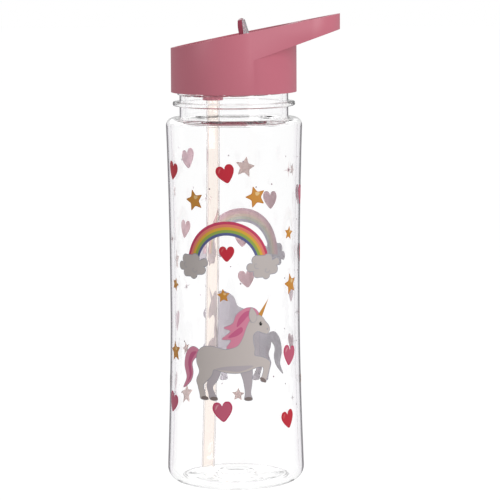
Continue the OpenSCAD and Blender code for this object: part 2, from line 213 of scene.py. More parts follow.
FLOOR_R, FLOOR_DROP = 6, 0.3 * MM
deselect()
bpy.ops.mesh.primitive_circle_add(vertices=96, radius=FLOOR_R, fill_type="NGON", location=(0, 0, -FLOOR_DROP))
floor = bpy.context.object
floor.name = "floor"
floor_white, floor_nodes, floor_links, shader = new_material("floor_white")
FLOOR_SEEN = 0.96
FLOOR_LIGHTING = 0.38
shader.inputs["Base Color"].default_value = (0.12, 0.12, 0.12, 1)
shader.inputs["Roughness"].default_value = 0.9
shader.inputs["Specular IOR Level"].default_value = 0
shader.inputs["Emission Color"].default_value = (1, 1, 1, 1)
glow = studio_level(floor_nodes, floor_links, FLOOR_SEEN, FLOOR_LIGHTING, MIRRORED_WHITE)
floor_links.new(glow, shader.inputs["Emission Strength"])
floor.data.materials.append(floor_white)

# %% [markdown]
# ## Shared shader effects
# Two effects come back in several finishes, so each is a node group. `moulded_skin` gives plastic its
# slight unevenness: the tint drifts a little, the gloss varies, and a fine spark-eroded grain catches the
# light. `pale_convex_edges` finds convex corners from the shape itself and makes them a touch paler.

# %% Node groups
def new_group(name, inputs, outputs):
    group = bpy.data.node_groups.new(name, "ShaderNodeTree")
    for label, kind, value in inputs:
        socket = group.interface.new_socket(label, in_out="INPUT", socket_type=kind)
        socket.default_value = value
    for label, kind in outputs:
        group.interface.new_socket(label, in_out="OUTPUT", socket_type=kind)
    return group, group.nodes.new("NodeGroupInput"), group.nodes.new("NodeGroupOutput")


def math_node(tree, operation, a=None, b=None):
    node = tree.nodes.new("ShaderNodeMath")
    node.operation = operation
    for socket, value in zip(node.inputs, (a, b)):
        if value is None:
            continue
        if isinstance(value, (int, float)):
            socket.default_value = value
        else:
            tree.links.new(value, socket)
    return node.outputs[0]


# A Mix node keeps its colour sockets behind those of other kinds with the same names.
COLOR_A, COLOR_B, COLOR_OUT = 6, 7, 2


def noise(tree, coords, scale, detail=3.0):
    node = tree.nodes.new("ShaderNodeTexNoise")
    node.inputs["Detail"].default_value = detail
    tree.links.new(coords, node.inputs["Vector"])
    if isinstance(scale, (int, float)):
        node.inputs["Scale"].default_value = scale
    else:
        tree.links.new(scale, node.inputs["Scale"])
    return node.outputs["Fac"]


moulded_skin, gi, go = new_group(
    "moulded_skin",
    [("Color", "NodeSocketColor", (0.8, 0.8, 0.8, 1)), ("Roughness", "NodeSocketFloat", 0.4),
     ("Drift", "NodeSocketFloat", 0.05), ("Grain Scale", "NodeSocketFloat", 2500.0)],
    [("Color", "NodeSocketColor"), ("Roughness", "NodeSocketFloat"), ("Height", "NodeSocketFloat")])
where = moulded_skin.nodes.new("ShaderNodeTexCoord").outputs["Object"]
drift = noise(moulded_skin, where, 28.0)
grain = noise(moulded_skin, where, gi.outputs["Grain Scale"], 2.0)
tint = moulded_skin.nodes.new("ShaderNodeHueSaturation")
centred = math_node(moulded_skin, "SUBTRACT", drift, 0.5)
swing = math_node(moulded_skin, "MULTIPLY", centred, gi.outputs["Drift"])
moulded_skin.links.new(math_node(moulded_skin, "ADD", swing, 1.0), tint.inputs["Value"])
moulded_skin.links.new(gi.outputs["Color"], tint.inputs["Color"])
moulded_skin.links.new(tint.outputs["Color"], go.inputs["Color"])
uneven = math_node(moulded_skin, "MULTIPLY", swing, 1.5)
rough = math_node(moulded_skin, "ADD", gi.outputs["Roughness"], uneven)
moulded_skin.links.new(rough, go.inputs["Roughness"])
moulded_skin.links.new(grain, go.inputs["Height"])

# Convex corners, found by pointiness, are mixed towards a paler edge colour.
pale_convex_edges, gi, go = new_group(
    "pale_convex_edges",
    [("Color", "NodeSocketColor", (0.8, 0.8, 0.8, 1)), ("Edge Color", "NodeSocketColor", (1, 1, 1, 1)),
     ("Amount", "NodeSocketFloat", 0.3)],
    [("Color", "NodeSocketColor")])
point = pale_convex_edges.nodes.new("ShaderNodeNewGeometry").outputs["Pointiness"]
ramp = pale_convex_edges.nodes.new("ShaderNodeValToRGB")
ramp.color_ramp.elements[0].position = 0.52
ramp.color_ramp.elements[1].position = 0.60
pale_convex_edges.links.new(point, ramp.inputs["Fac"])
blend = pale_convex_edges.nodes.new("ShaderNodeMix")
blend.data_type = "RGBA"
pale_convex_edges.links.new(math_node(pale_convex_edges, "MULTIPLY", ramp.outputs["Color"], gi.outputs["Amount"]),
                     blend.inputs["Factor"])
pale_convex_edges.links.new(gi.outputs["Color"], blend.inputs[COLOR_A])
pale_convex_edges.links.new(gi.outputs["Edge Color"], blend.inputs[COLOR_B])
pale_convex_edges.links.new(blend.outputs[COLOR_OUT], go.inputs["Color"])


# %% [markdown]
# ## The plastics
# The cap is satin polypropylene, and the spout is the same plastic from a polished mould. The spout's pink
# is a darker copy of the cap's, painted shade for a part that is mostly seen from its shaded side. Both are a
# base colour passed through the two shared effects. Scattering light inside the pink is left to the colour:
# at this thickness polypropylene looks solid.

# %% Pink plastics
def moulded(name, colour, roughness, drift, grain_scale, grain_depth, edge_colour, edge_amount, ior=1.49):
    material, n, links, bsdf = new_material(name)
    skin = n.new("ShaderNodeGroup")
    skin.node_tree = moulded_skin
    skin.inputs["Color"].default_value = (*colour, 1)
    skin.inputs["Roughness"].default_value = roughness
    skin.inputs["Drift"].default_value = drift
    skin.inputs["Grain Scale"].default_value = grain_scale
    edges = n.new("ShaderNodeGroup")
    edges.node_tree = pale_convex_edges
    edges.inputs["Edge Color"].default_value = (*edge_colour, 1)
    edges.inputs["Amount"].default_value = edge_amount
    bump = n.new("ShaderNodeBump")
    bump.inputs["Strength"].default_value = grain_depth
    bump.inputs["Distance"].default_value = 0.0001
    links.new(skin.outputs["Color"], edges.inputs["Color"])
    links.new(edges.outputs["Color"], bsdf.inputs["Base Color"])
    links.new(skin.outputs["Roughness"], bsdf.inputs["Roughness"])
    links.new(skin.outputs["Height"], bump.inputs["Height"])
    links.new(bump.outputs["Normal"], bsdf.inputs["Normal"])
    bsdf.inputs["IOR"].default_value = ior
    return material


cap_pink = moulded("cap_pink", (0.60, 0.165, 0.225), 0.42, 0.10, 2600.0, 0.10, (0.72, 0.28, 0.33), 0.35)
# The spout's pink is the cap's pink darkened: painted shade.
spout_pink = moulded("spout_pink", (0.36, 0.055, 0.10), 0.14, 0.06, 1500.0, 0.04, (0.6, 0.2, 0.26), 0.2)
inner_pink = moulded("inner_pink", (0.60, 0.165, 0.225), 0.36, 0.06, 2600.0, 0.05, (0.72, 0.28, 0.33), 0.2)

# %% [markdown]
# Silicone is frosted: light enters, scatters and comes out soft. The mouthpiece and the small seals share
# it, with different clearness. The straw is a thin tinted tube, clear enough to show a print behind it.

# %% Soft and clear plastics
def translucent(name, colour, roughness, clear, scatter, ior=1.41):
    material, n, links, bsdf = new_material(name)
    skin = n.new("ShaderNodeGroup")
    skin.node_tree = moulded_skin
    skin.inputs["Color"].default_value = (*colour, 1)
    skin.inputs["Roughness"].default_value = roughness
    skin.inputs["Drift"].default_value = 0.04
    skin.inputs["Grain Scale"].default_value = 900.0
    links.new(skin.outputs["Color"], bsdf.inputs["Base Color"])
    links.new(skin.outputs["Roughness"], bsdf.inputs["Roughness"])
    bsdf.inputs["Transmission Weight"].default_value = clear
    bsdf.inputs["Subsurface Weight"].default_value = scatter
    bsdf.inputs["Subsurface Radius"].default_value = (1, 0.9, 0.85)
    bsdf.inputs["Subsurface Scale"].default_value = 0.002
    bsdf.inputs["IOR"].default_value = ior
    return material


silicone = translucent("silicone", (0.86, 0.88, 0.87), 0.35, 0.35, 0.4)
mouthpiece_soft = translucent("mouthpiece_soft", (0.93, 0.90, 0.94), 0.18, 0.6, 0.3)


def painted_edge_shade(material, shade_stops):
    """Painted shade: the colour darkens where an upright wall is seen edge-on, standing in for the grey edge
    lines that the light draws on clear plastic.
    """
    tree = material.node_tree
    n, links = tree.nodes, tree.links
    facing = n.new("ShaderNodeLayerWeight")
    facing.inputs["Blend"].default_value = 0.5
    split = n.new("ShaderNodeSeparateXYZ")
    links.new(n.new("ShaderNodeNewGeometry").outputs["Normal"], split.inputs["Vector"])
    level = math_node(tree, "ABSOLUTE", split.outputs["Z"])
    upright = math_node(tree, "SUBTRACT", 1.0, math_node(tree, "MULTIPLY", level, level))
    tint = n.new("ShaderNodeValToRGB")
    tint.color_ramp.interpolation = "EASE"
    for _ in shade_stops[2:]:
        tint.color_ramp.elements.new(0.5)
    for element, (position, colour) in zip(tint.color_ramp.elements, shade_stops):
        element.position, element.color = position, (*colour, 1)
    links.new(math_node(tree, "MULTIPLY", facing.outputs["Facing"], upright), tint.inputs["Fac"])
    links.new(tint.outputs["Color"], n["Principled BSDF"].inputs["Base Color"])


def clear_plastic(name, shade_stops, roughness, ior, shade):
    """Polished clear plastic. Lamps shine through it with a faint shadow, which a slow caustic would give."""
    material, n, links, bsdf = new_material(name)
    # The base colour carries painted edge shade.
    painted_edge_shade(material, shade_stops)
    bsdf.inputs["Roughness"].default_value = roughness
    bsdf.inputs["IOR"].default_value = ior
    bsdf.inputs["Transmission Weight"].default_value = 1
    path = n.new("ShaderNodeLightPath")
    cover = math_node(material.node_tree, "MULTIPLY", path.outputs["Is Shadow Ray"], 1 - shade)
    links.new(math_node(material.node_tree, "SUBTRACT", 1.0, cover), bsdf.inputs["Alpha"])
    return material


CLEAR = (0.998, 0.998, 0.999)
PEACH = (0.990, 0.942, 0.905)
# Each ramp runs from the plastic's own colour to painted shade: its dark stops stand in for the edge lines
# that the light draws.
OUTER_SHADE_STOPS = [(0.60, CLEAR), (0.72, (0.84, 0.80, 0.86)), (0.81, (0.012, 0.008, 0.014))]
INNER_SHADE_STOPS = [(0.60, CLEAR), (0.78, (0.90, 0.87, 0.91)), (0.90, (0.30, 0.26, 0.32))]
STRAW_SHADE_STOPS = [(0.48, PEACH), (0.58, (0.84, 0.75, 0.74)), (0.76, (0.06, 0.045, 0.05))]
clear_body = clear_plastic("clear_body", OUTER_SHADE_STOPS, 0.0, 1.40, 0.08)
clear_inside = clear_plastic("clear_inside", INNER_SHADE_STOPS, 0.0, 1.40, 0.08)
straw_tint = clear_plastic("straw_tint", STRAW_SHADE_STOPS, 0.0, 1.28, 0.2)
print("clear plastics: outer wall, inner wall and straw")

# %% [markdown]
# ## The clear bottle
# The engineering model gives the bottle's sizes, but its walls are made of short flat strips, and clear
# plastic shows every strip. So the wall is made again as a smooth turned shape. One side of its section is
# drawn point by point with extrude and then spun round the axis, as on a lathe. The sizes below are the
# bottle's own: the foot, the waist, the shoulder, the neck and its flange.

# %% Section of the bottle
body_low, body_high = (Vector(v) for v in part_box("bottle_body"))
BASE_R = (body_high.x - body_low.x) / 2
NECK_TOP = body_high.z
WALL = 2.2 * MM
BASE_CORNER = 7.5 * MM
SHOULDER_Z = NECK_TOP - 21.6 * MM
SHOULDER_CORNER = 4 * MM
NECK_R = BASE_R - 7.3 * MM
SHOULDER_R = NECK_R + 6.9 * MM
WAIST_R = SHOULDER_R - 1.5 * MM
WAIST_Z = 85 * MM
NECK_WALL = 2.6 * MM
FLANGE_LOW = SHOULDER_Z + 6 * MM
FLANGE_HIGH = FLANGE_LOW + 2 * MM
FLANGE_R = NECK_R + 3.4 * MM
PUSH_UP = 1.4 * MM
DIMPLE_R = 6 * MM
DIMPLE_H = 2.2 * MM
WALL_TOP = SHOULDER_Z - SHOULDER_CORNER


def body_radius(z):
    if z > WAIST_Z:
        return WAIST_R + (SHOULDER_R - WAIST_R) * ((z - WAIST_Z) / (WALL_TOP - WAIST_Z)) ** 2.2
    return WAIST_R + (BASE_R - WAIST_R) * ((WAIST_Z - z) / (WAIST_Z - BASE_CORNER)) ** 1.6


def arc(x, z, r, start, end, steps):
    turns = [math.radians(start + (end - start) * i / steps) for i in range(steps + 1)]
    return [(x + r * math.cos(t), z + r * math.sin(t)) for t in turns]


def along(z0, z1, steps, inset=0.0):
    heights = [z0 + (z1 - z0) * i / steps for i in range(1, steps)]
    return [(body_radius(z) - inset, z) for z in heights]


def rounded(points, radius, steps=5):
    """Rounds each corner of an open line of (x, z) points with a curve that starts radius away from it."""
    result = [points[0]]
    for before, corner, after in zip(points, points[1:], points[2:]):
        b, c, a = Vector(before), Vector(corner), Vector(after)
        reach_in = min(radius, (b - c).length * 0.45)
        reach_out = min(radius, (a - c).length * 0.45)
        p, q = c + (b - c).normalized() * reach_in, c + (a - c).normalized() * reach_out
        for i in range(steps + 1):
            t = i / steps
            result.append(tuple(p * (1 - t) ** 2 + c * 2 * t * (1 - t) + q * t * t))
    return result + [points[-1]]


THREAD_LOW = FLANGE_HIGH + 1.2 * MM
THREAD_ROW, THREAD_ROWS = 0.25 * MM, 45
foot_r = BASE_R - BASE_CORNER
base_outside = rounded([(0, PUSH_UP + DIMPLE_H), (DIMPLE_R, PUSH_UP + DIMPLE_H), (DIMPLE_R + 2 * MM, PUSH_UP),
                        (foot_r - 3 * MM, PUSH_UP), (foot_r - 1.8 * MM, 0), (foot_r, 0)], 1.2 * MM)
neck_outside = rounded([(SHOULDER_R - 5 * MM, SHOULDER_Z), (NECK_R, SHOULDER_Z), (NECK_R, FLANGE_LOW),
                        (FLANGE_R, FLANGE_LOW), (FLANGE_R, FLANGE_HIGH), (NECK_R, FLANGE_HIGH),
                        (NECK_R, THREAD_LOW)], 0.7 * MM)
thread_rows = [(NECK_R, THREAD_LOW + i * THREAD_ROW) for i in range(1, THREAD_ROWS + 1)]
rim = rounded([(NECK_R, NECK_TOP - 1 * MM), (NECK_R, NECK_TOP), (NECK_R - NECK_WALL, NECK_TOP),
               (NECK_R - NECK_WALL, NECK_TOP - 1 * MM)], 0.5 * MM)
neck_in_r = NECK_R - NECK_WALL
inside = (
    arc(neck_in_r + 3 * MM, SHOULDER_Z - WALL + 3 * MM, 3 * MM, 180, 270, 10)
    + arc(SHOULDER_R - SHOULDER_CORNER, WALL_TOP, SHOULDER_CORNER - WALL, 90, 0, 8)
    + along(WALL_TOP, BASE_CORNER, 56, WALL)
    + arc(foot_r, BASE_CORNER, BASE_CORNER - WALL, 0, -90, 12)
    + rounded([(foot_r - 1 * MM, PUSH_UP + WALL), (DIMPLE_R + WALL + 2 * MM, PUSH_UP + WALL),
               (DIMPLE_R + WALL, PUSH_UP + WALL + DIMPLE_H), (0, PUSH_UP + WALL + DIMPLE_H)], 1.2 * MM)
)
section = (base_outside + arc(foot_r, BASE_CORNER, BASE_CORNER, -90, 0, 16)[1:]
           + along(BASE_CORNER, WALL_TOP, 56)
           + arc(SHOULDER_R - SHOULDER_CORNER, WALL_TOP, SHOULDER_CORNER, 0, 90, 12)
           + neck_outside[1:] + thread_rows + rim + inside)
print("section of the bottle:", len(section), "points")

# %% Lathe
def lathe(name, section, steps=180):
    """Turns a line of (radius, height) points round the upright axis: extrude along it, then spin."""
    deselect()
    bpy.ops.mesh.primitive_plane_add(size=2 * MM)
    piece = bpy.context.object
    piece.name = name
    bpy.ops.object.mode_set(mode="EDIT")
    bpy.ops.mesh.select_all(action="SELECT")
    bpy.ops.mesh.merge(type="CENTER")
    first = section[0]
    bpy.ops.transform.translate(value=(first[0], 0, first[1]))
    for (r0, z0), (r1, z1) in zip(section, section[1:]):
        bpy.ops.mesh.extrude_region_move(TRANSFORM_OT_translate={"value": (r1 - r0, 0, z1 - z0)})
    bpy.ops.mesh.select_all(action="SELECT")
    bpy.ops.mesh.spin(steps=steps, angle=math.tau, center=(0, 0, 0), axis=(0, 0, 1))
    bpy.ops.object.mode_set(mode="OBJECT")
    outward(piece, 2e-6)
    return piece


bottle = lathe("bottle", section)

# %% [markdown]
# The neck's thread is a ridge that winds one and a half times round. Its rows of points are already there,
# so they are pushed out wherever the helix passes, with a fade at both ends as on a moulded thread.

# %% Thread
THREAD_START = math.radians(54)
THREAD_TURNS = 1.5
THREAD_PITCH = 4 * MM
THREAD_Z = FLANGE_HIGH + 2.6 * MM
THREAD_DEPTH = 1.1 * MM


def ridge_height(angle, z):
    best = 0.0
    for lap in range(3):
        turn = ((angle - THREAD_START) % math.tau + lap * math.tau) / math.tau
        if turn > THREAD_TURNS:
            continue
        fade = min(1.0, turn * 8, (THREAD_TURNS - turn) * 8)
        off = abs(z - THREAD_Z - turn * THREAD_PITCH)
        best = max(best, fade * min(1.0, max(0.0, (1.05 * MM - off) / (0.5 * MM))))
    return best


for v in bottle.data.vertices:
    r = math.hypot(v.co.x, v.co.y)
    if abs(r - NECK_R) < 0.02 * MM and FLANGE_HIGH + MM < v.co.z < NECK_TOP - 1.1 * MM:
        push = 1 + THREAD_DEPTH * ridge_height(math.atan2(v.co.y, v.co.x), v.co.z) / r
        v.co.x *= push
        v.co.y *= push
smooth(bottle, 60)
finish(bottle, clear_body, "bottle", "clear_body", "bottle_body")
bottle.data.materials.append(clear_inside)
for face in bottle.data.polygons:
    facing_axis = face.normal.x * face.center.x + face.normal.y * face.center.y < 0
    face.material_index = 1 if facing_axis else 0

# %% [markdown]
# ## The print
# The picture is screen-printed ink on the outside of the bottle: hearts, stars, sparkles, two rainbows with
# clouds and two ponies, all drawn plainly for this lesson. Each motif is cut from a flat sheet as an outline,
# sliced into narrow strips so that it can bend, and then wrapped on the wall. Inks that lie on others stand
# a few hundredths of a millimetre further out, as real layers of ink do. Places on the bottle are given as
# an angle round it, counted from the front towards the loop, and a height.

# %% Inks
PRINT_GAP = 0.05 * MM
LAYER = 0.03 * MM


def ink(name, colour, roughness=0.42):
    """Glossy ink over a pale base coat: through the bottle its back looks washed out."""
    material, n, links, bsdf = new_material(name)
    skin = n.new("ShaderNodeGroup")
    skin.node_tree = moulded_skin
    skin.inputs["Color"].default_value = (*colour, 1)
    skin.inputs["Roughness"].default_value = roughness
    skin.inputs["Drift"].default_value = 0.10
    skin.inputs["Grain Scale"].default_value = 1800.0
    side = n.new("ShaderNodeNewGeometry").outputs["Backfacing"]
    back = n.new("ShaderNodeMix")
    back.data_type = "RGBA"
    links.new(math_node(material.node_tree, "MULTIPLY", side, 0.72), back.inputs["Factor"])
    links.new(skin.outputs["Color"], back.inputs[COLOR_A])
    back.inputs[COLOR_B].default_value = (0.54, 0.49, 0.53, 1)
    links.new(back.outputs[COLOR_OUT], bsdf.inputs["Base Color"])
    links.new(skin.outputs["Roughness"], bsdf.inputs["Roughness"])
    bsdf.inputs["Specular IOR Level"].default_value = 0.3
    bump = n.new("ShaderNodeBump")
    bump.inputs["Strength"].default_value = 0.05
    bump.inputs["Distance"].default_value = 0.00005
    links.new(skin.outputs["Height"], bump.inputs["Height"])
    links.new(bump.outputs["Normal"], bsdf.inputs["Normal"])
    return material


INKS = {
    "crimson": (0.60, 0.055, 0.130), "coral": (0.80, 0.22, 0.16), "gold": (0.72, 0.42, 0.05),
    "leaf": (0.30, 0.42, 0.08), "slate_blue": (0.11, 0.13, 0.30), "red": (0.60, 0.028, 0.05),
    "red_light": (0.72, 0.14, 0.14), "rose": (0.61, 0.125, 0.205), "rose_dark": (0.60, 0.045, 0.13),
    "rose_light": (0.80, 0.36, 0.40), "amber": (0.66, 0.29, 0.045), "amber_dark": (0.58, 0.19, 0.008),
    "amber_light": (0.86, 0.58, 0.26), "cloud_grey": (0.56, 0.51, 0.49), "line_grey": (0.38, 0.38, 0.44),
    "pony_white": (0.61, 0.55, 0.525), "pony_shade": (0.51, 0.46, 0.49), "mane_pink": (0.76, 0.27, 0.39),
    "mane_deep": (0.64, 0.14, 0.28), "tail_rose": (0.80, 0.29, 0.42), "hoof_brown": (0.24, 0.19, 0.18),
    "eye_black": (0.02, 0.02, 0.02), "sparkle": (0.66, 0.46, 0.46), "fleck": (0.40, 0.30, 0.34),
}
inks = {name: ink("ink_" + name, colour) for name, colour in INKS.items()}

# %% [markdown]
# A motif is a list of shapes, each an outline in millimetres with an ink and a layer. Round shapes come from
# formulas. Drawn ones, such as the pony, go through a few chosen points, which a curve joins smoothly.

# %% Outlines
def curve_through(points, steps=5):
    """Closed smooth line through the points (Catmull-Rom)."""
    n, result = len(points), []
    for i in range(n):
        p0, p1, p2, p3 = (Vector(points[(i + k - 1) % n]) for k in range(4))
        for s in range(steps):
            t = s / steps
            result.append(tuple(0.5 * (2 * p1 + (p2 - p0) * t + (2 * p0 - 5 * p1 + 4 * p2 - p3) * t * t
                                       + (3 * p1 - p0 - 3 * p2 + p3) * t ** 3)))
    return result


def grown(points, by):
    """The same outline, moved outwards by a distance; points run anticlockwise."""
    n, result = len(points), []
    for i in range(n):
        a, b, c = Vector(points[i - 1]), Vector(points[i]), Vector(points[(i + 1) % n])
        d = (c - a)
        normal = Vector((d.y, -d.x)).normalized() if d.length > 1e-6 else Vector((0, 0))
        result.append(tuple(b + normal * by))
    return result


def anticlockwise(points):
    area = sum(x0 * y1 - x1 * y0 for (x0, y0), (x1, y1) in zip(points, points[1:] + points[:1]))
    return points if area > 0 else points[::-1]


def ellipse(x, y, rx, ry, tilt=0.0, steps=28):
    c, s = math.cos(tilt), math.sin(tilt)
    turns = [math.tau * i / steps for i in range(steps)]
    return [(x + rx * math.cos(t) * c - ry * math.sin(t) * s, y + rx * math.cos(t) * s + ry * math.sin(t) * c)
            for t in turns]


HEART_SIDE = [
    (0.0, -0.50), (0.25, -0.30), (0.44, -0.04), (0.50, 0.20), (0.40, 0.41), (0.20, 0.45), (0.06, 0.36)]


def heart(size, grow=0.0):
    """A plump heart, as wide as size: one side is drawn, and the other is its mirror image."""
    other = [(-x, z) for x, z in HEART_SIDE[:0:-1]]
    line = curve_through([(x * size, z * size) for x, z in HEART_SIDE + [(0.0, 0.25)] + other])
    return grown(anticlockwise(line), grow)


def star(size, grow=0.0, depth=0.47):
    r = size / 1.9
    corners = [(r * (1 if i % 2 == 0 else depth) * math.cos(math.radians(90 + 36 * i)),
                r * (1 if i % 2 == 0 else depth) * math.sin(math.radians(90 + 36 * i))) for i in range(10)]
    line = []
    for i, corner in enumerate(corners):
        before, after = Vector(corners[i - 1]), Vector(corners[(i + 1) % 10])
        c = Vector(corner)
        soft = 0.16
        p, q = c.lerp(before, soft), c.lerp(after, soft)
        line += [tuple(p), tuple(p.lerp(c, 0.6).lerp(q, 0.25)), tuple(q)]
    return grown(line, grow)


def heart_motif(size, fill, edge, light):
    spots = [(-0.36, 0.10), (-0.30, 0.28), (-0.16, 0.33), (-0.24, 0.24), (-0.30, 0.14)]
    gleam = curve_through([(x * size, z * size) for x, z in spots])
    return [(heart(size), edge, 0), (heart(size * 0.88), fill, 1), (anticlockwise(gleam), light, 2)]


def star_motif(size):
    spots = [(0.05, 0.22), (0.24, 0.13), (0.12, 0.04), (0.02, 0.08)]
    gleam = curve_through([(x * size, z * size) for x, z in spots])
    return [(star(size), "amber_dark", 0), (star(size * 0.86), "amber", 1),
            (anticlockwise(gleam), "amber_light", 2)]


def sparkle_motif(size):
    rays = []
    for i in range(16):
        reach = (1.0 if i % 4 == 0 else 0.5) if i % 2 == 0 else 0.15
        t = math.tau * i / 16
        rays.append((size / 2 * reach * math.cos(t), size / 2 * reach * math.sin(t)))
    return [(rays, "sparkle", 0), (ellipse(0, 0, size * 0.09, size * 0.09, steps=16), "fleck", 1)]


def cloud_motif(w, h):
    """Seven puffs along an oval, joined in one line, with two curls inside."""
    puffs = [(0.42, 0.20, 0.20), (0.12, 0.34, 0.26), (-0.24, 0.30, 0.25), (-0.42, 0.00, 0.20),
             (-0.22, -0.28, 0.20), (0.06, -0.34, 0.22), (0.34, -0.12, 0.22)]
    line = []
    for x, y, r in puffs:
        mid = math.atan2(y * h, x * w)
        for k in range(7):
            t = mid + math.radians(-75 + 25 * k)
            line.append((x * w + r * w * 0.55 * math.cos(t), y * h + r * h * 0.9 * math.sin(t)))
    line = anticlockwise(line)
    shapes = [(grown(line, 0.35), "line_grey", 2), (line, "cloud_grey", 3)]
    for cx, cy, turn in ((-0.24 * w, 0.10 * h, 0.4), (0.08 * w, -0.12 * h, 1.2)):
        spiral = [(turn + 0.35 * i, (0.25 + 0.13 * i)) for i in range(15)]
        outer = [(cx + r * math.cos(t), cy + r * math.sin(t)) for t, r in spiral]
        inner = [(cx + (r - 0.2) * math.cos(t), cy + (r - 0.2) * math.sin(t)) for t, r in spiral]
        shapes.append((anticlockwise(outer + inner[::-1]), "line_grey", 4))
    return shapes


def rainbow_motif(radius, band=1.4, steps=48):
    """Five half rings of the same width, one inside the other."""
    turns = [math.pi * i / steps for i in range(steps + 1)]
    shapes = []
    for number, colour in enumerate(("crimson", "coral", "gold", "leaf", "slate_blue")):
        outer = radius - number * band
        line = [(outer * math.cos(t), outer * math.sin(t)) for t in turns]
        line += [((outer - band) * math.cos(t), (outer - band) * math.sin(t)) for t in reversed(turns)]
        shapes.append((line, colour, 0))
    return shapes


# %% [markdown]
# The pony is drawn for this bottle: it stands on three legs, facing right, and lifts a foreleg. Its far legs
# lie on a lower layer and are darker, and a slightly larger copy in grey underneath gives each part a thin
# outline. The hooves on the ground stand at height nought.

# %% Pony
PONY_BODY = [
    (17.4, 37.6), (15.0, 39.2), (12.6, 39.0), (10.4, 36.8), (8.6, 33.0), (6.8, 28.2), (4.2, 24.6),
    (-1.0, 23.2), (-7.0, 24.4), (-12.4, 24.0), (-15.4, 21.0), (-15.8, 17.0), (-14.2, 12.8),
    (-15.8, 8.8), (-15.0, 6.0), (-13.9, 2.4), (-13.2, 0.2), (-9.4, 0.1), (-10.8, 1.6), (-11.4, 3.6),
    (-12.0, 6.6), (-9.8, 8.9), (-7.6, 11.4), (-6.4, 14.0), (-2.0, 12.9), (4.0, 12.4), (9.6, 13.2),
    (13.4, 14.6), (17.0, 15.0), (17.7, 13.4), (16.9, 10.8), (16.2, 8.6), (18.2, 8.1), (19.4, 9.8),
    (20.4, 12.8), (21.3, 16.2), (20.3, 17.8), (16.8, 19.5), (13.2, 20.4), (13.3, 23.4), (12.5, 27.0),
    (12.8, 30.0), (14.8, 31.4), (17.4, 30.6), (19.8, 30.0), (21.2, 31.6), (20.6, 33.8), (18.8, 35.8)]
PONY_FAR_FORELEG = [
    (6.0, 15.0), (7.6, 9.0), (8.5, 3.4), (8.2, 0.2), (11.8, 0.1), (11.1, 3.2), (11.8, 8.4),
    (11.6, 15.0)]
PONY_FAR_HINDLEG = [
    (-9.0, 15.0), (-9.2, 10.0), (-10.2, 6.6), (-9.3, 3.2), (-8.4, 0.2), (-4.8, 0.1), (-6.2, 3.0),
    (-7.2, 6.0), (-4.8, 9.2), (-3.4, 14.0)]
PONY_TAIL = [
    (-14.6, 22.4), (-18.4, 23.8), (-22.4, 20.8), (-23.8, 15.0), (-22.2, 9.2), (-24.6, 4.4),
    (-19.8, 7.4), (-18.0, 11.6), (-18.6, 16.0), (-16.8, 18.6), (-15.2, 19.2)]
PONY_TAIL_LOCK = [
    (-16.0, 21.6), (-19.4, 20.8), (-21.2, 16.2), (-20.2, 10.6), (-21.6, 7.2), (-19.0, 10.6),
    (-19.4, 16.0), (-17.6, 19.4)]
PONY_MANE = [
    (15.6, 39.2), (13.2, 42.0), (9.0, 42.2), (4.6, 39.4), (2.6, 35.2), (-1.6, 33.2), (1.6, 31.6),
    (-2.6, 28.0), (1.8, 27.6), (-0.4, 23.8), (4.6, 24.8), (7.2, 28.2), (9.0, 32.8), (10.8, 36.4),
    (13.0, 38.4)]
PONY_MANE_LOCKS = [[(12.6, 40.8), (8.8, 40.6), (5.6, 37.4), (4.6, 33.6), (7.0, 35.4), (9.8, 38.4)],
                   [(6.8, 33.6), (3.6, 31.8), (0.4, 28.8), (4.4, 29.4), (7.4, 31.6)]]
PONY_EAR = [(11.4, 36.2), (10.6, 39.2), (11.8, 42.2), (14.0, 39.6), (14.2, 37.0), (12.8, 35.6)]
PONY_HORN = [(15.2, 39.2), (20.4, 46.0), (17.0, 38.2)]
PONY_BELLY = [
    (-5.6, 14.2), (0.0, 13.6), (6.0, 13.2), (12.6, 15.6), (6.0, 15.8), (-1.0, 15.4)]


PONY_TALL, PONY_MIDDLE = 46, 22


def pony_motif(size):
    k = size / PONY_TALL
    shapes = []

    def add(points, colour, layer, line=0.0, rounded_line=True):
        shape = curve_through(points) if rounded_line else points
        shape = anticlockwise([(x * k, (y - PONY_MIDDLE) * k) for x, y in shape])
        if line:
            shapes.append((grown(shape, line), "line_grey", layer))
            layer += 1
        shapes.append((shape, colour, layer))

    add(PONY_TAIL, "tail_rose", 1, 0.2)
    add(PONY_TAIL_LOCK, "mane_deep", 3)
    add(PONY_FAR_HINDLEG, "pony_shade", 0, 0.2)
    add(PONY_FAR_FORELEG, "pony_shade", 0, 0.2)
    add(PONY_BODY, "pony_white", 3, 0.25)
    add(PONY_BELLY, "pony_shade", 5)
    add(PONY_MANE, "mane_pink", 6, 0.15)
    for lock in PONY_MANE_LOCKS:
        add(lock, "mane_deep", 8)
    add(PONY_EAR, "pony_white", 9, 0.18)
    add(PONY_HORN, "amber", 8, 0.12, False)
    add(ellipse(16.4, 34.8, 0.75, 0.95, steps=16), "eye_black", 6, 0, False)
    add(ellipse(16.7, 35.2, 0.22, 0.26, steps=10), "pony_white", 7, 0, False)
    add(ellipse(19.9, 32.2, 0.3, 0.4, steps=10), "line_grey", 6, 0, False)
    for x, y, tilt in ((-11.2, 0.7, 0), (-6.5, 0.6, 0), (10.0, 0.6, 0), (17.4, 8.9, -0.6)):
        add(ellipse(x, y, 1.95, 0.85, tilt, 16), "hoof_brown", 5, 0, False)
    return shapes


# %% [markdown]
# Now every motif gets its place, by a rule and not by hand. A sheet that goes once round a bottle is usually
# laid out as a repeat: the big motifs come twice, half a turn apart, and small ones fill the rest in a
# half-drop, where every second column is moved down by half a row. A small seeded shift and turn of each
# keeps it from looking like wallpaper, and the same seed gives the same print on every run.

